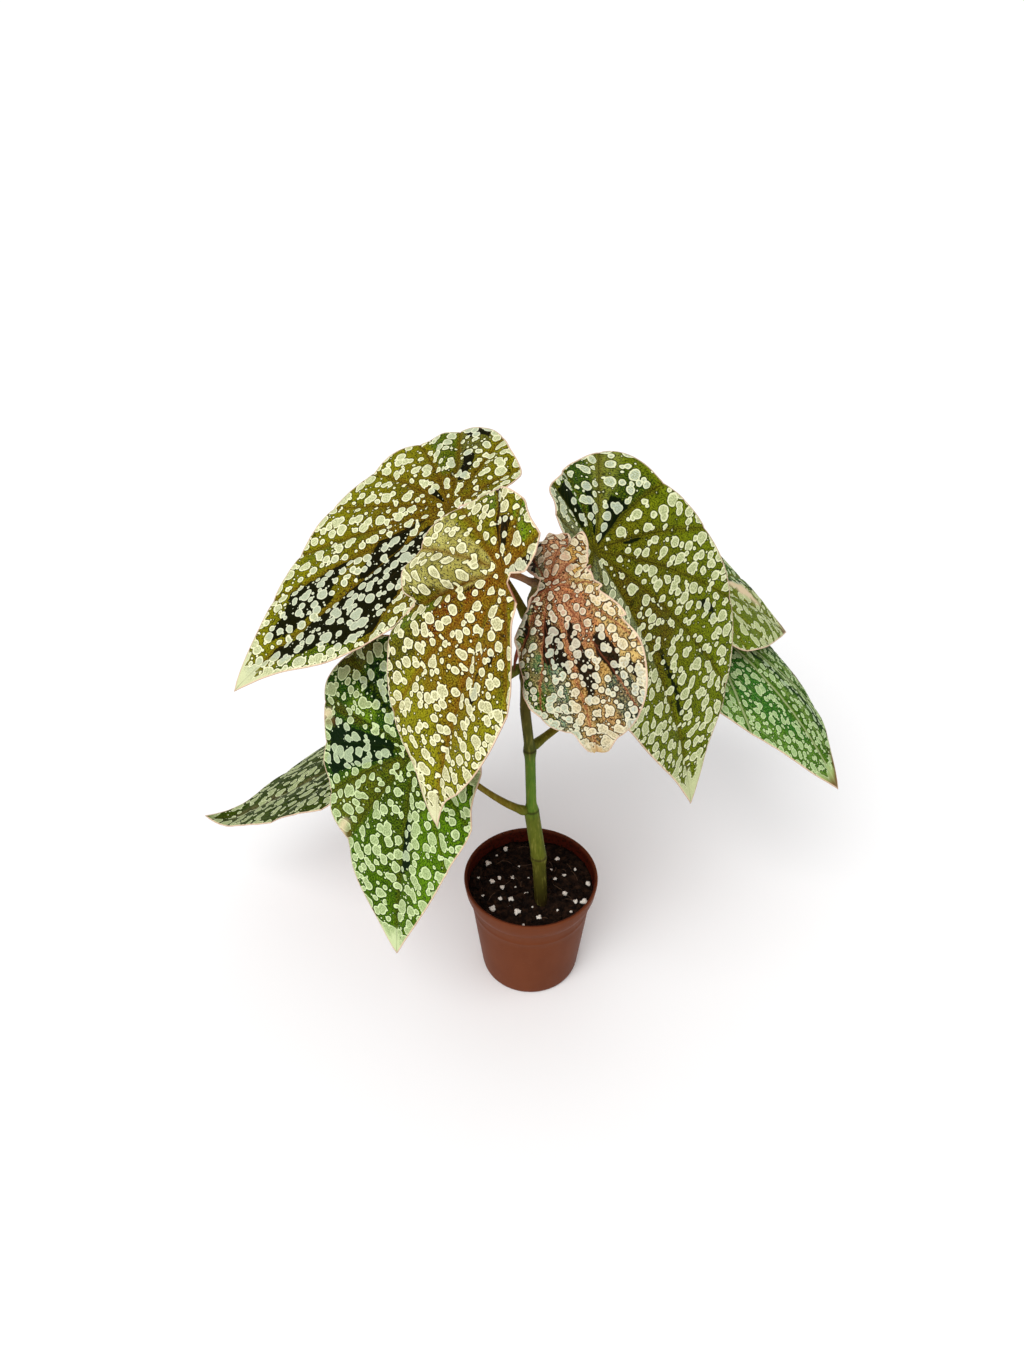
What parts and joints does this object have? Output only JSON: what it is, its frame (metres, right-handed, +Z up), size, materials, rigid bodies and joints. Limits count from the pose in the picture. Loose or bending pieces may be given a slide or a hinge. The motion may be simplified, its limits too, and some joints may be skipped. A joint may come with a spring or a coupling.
{
  "type": "potted polka dot begonia",
  "caption": "Young cane begonia with broad, pale-spotted asymmetric leaves on short stalks, growing from potting mix in a small tapered nursery pot.",
  "frame": {"origin": "centre of the pot's underside", "axes": "+Z up, -Y towards the viewer, +X to the right of the front view"},
  "size_m": [0.2927, 0.1833, 0.258],
  "materials": {
    "terracotta_plastic": "satin moulded",
    "potting_mix": "matt, crumbly, with white perlite grains",
    "cane_skin": "satin, faintly ribbed",
    "stalk_skin": "satin",
    "bract_skin": "dry, papery",
    "leaf_skin_1": "satin, pale-spotted, quilted between the veins",
    "leaf_skin_2": "satin, pale-spotted, quilted between the veins",
    "leaf_skin_3": "satin, pale-spotted, quilted between the veins",
    "leaf_skin_4": "satin, pale-spotted, quilted between the veins",
    "leaf_skin_5": "satin, pale-spotted, quilted between the veins",
    "leaf_skin_6": "satin, pale-spotted, quilted between the veins",
    "leaf_skin_7": "satin, pale-spotted, quilted between the veins",
    "leaf_skin_8": "satin, pale-spotted, quilted between the veins"
  },
  "bodies": {
    "root": {"pot": "terracotta_plastic", "soil": "potting_mix", "cane": "cane_skin", "bract": "bract_skin", "leaf_1": "leaf_skin_1", "leaf_2": "leaf_skin_2", "leaf_3": "leaf_skin_3", "leaf_4": "leaf_skin_4", "leaf_5": "leaf_skin_5", "leaf_6": "leaf_skin_6", "leaf_7": "leaf_skin_7", "leaf_8": "leaf_skin_8", "stalk_1": "stalk_skin", "stalk_2": "stalk_skin", "stalk_3": "stalk_skin", "stalk_4": "stalk_skin", "stalk_5": "stalk_skin", "stalk_6": "stalk_skin", "stalk_7": "stalk_skin", "stalk_8": "stalk_skin"}
  },
  "joints": []
}
